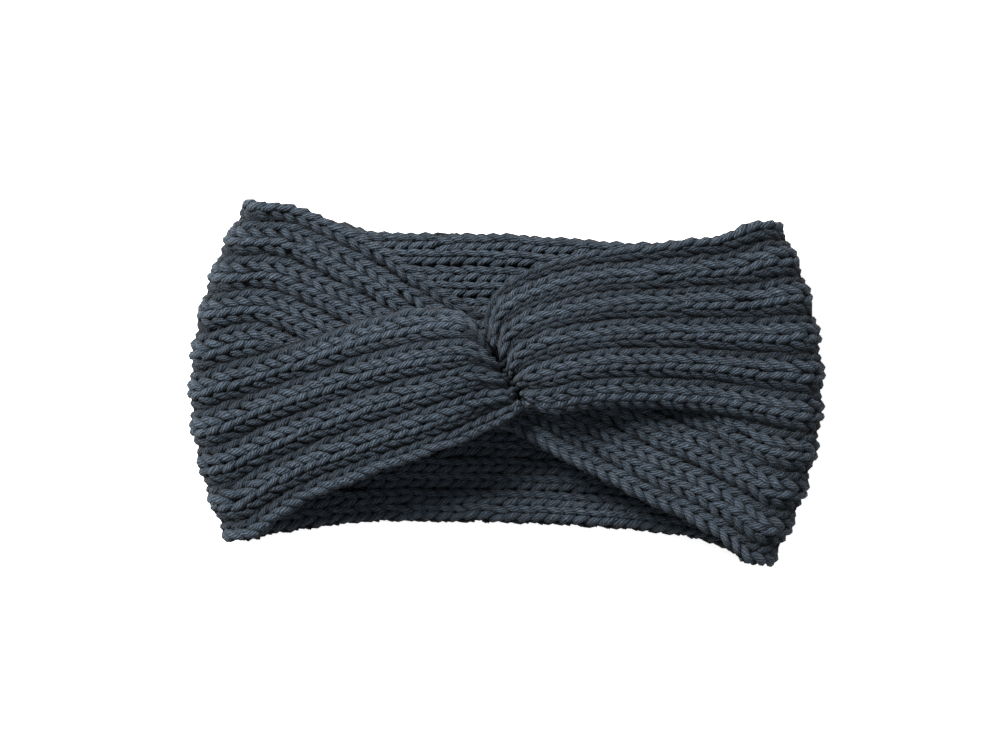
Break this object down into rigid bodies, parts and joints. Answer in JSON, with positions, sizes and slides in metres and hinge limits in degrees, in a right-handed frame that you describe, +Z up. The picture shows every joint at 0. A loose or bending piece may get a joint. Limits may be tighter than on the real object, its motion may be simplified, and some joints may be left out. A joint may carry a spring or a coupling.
{
  "type": "knitted ear warmer headband",
  "caption": "Wide rib-knitted ear warmer headband lying flat: one ribbed strip whose folded ends cross and are sewn in a twist at the front.",
  "frame": {"origin": "middle of the underside, on the surface that the headband lies on", "axes": "+X along the band from the wearer's right side to the left as seen from above, +Y up the front of the band, +Z up, away from the surface"},
  "size_m": [0.2199, 0.1259, 0.0352],
  "materials": {
    "knit": "thick plied yarn in a two by two rib, matt with a fine fuzz",
    "sewing_yarn": "the same yarn, sewn over and over"
  },
  "bodies": {
    "root": {"knit_band": "knit", "twist_seam": "sewing_yarn"}
  },
  "joints": []
}
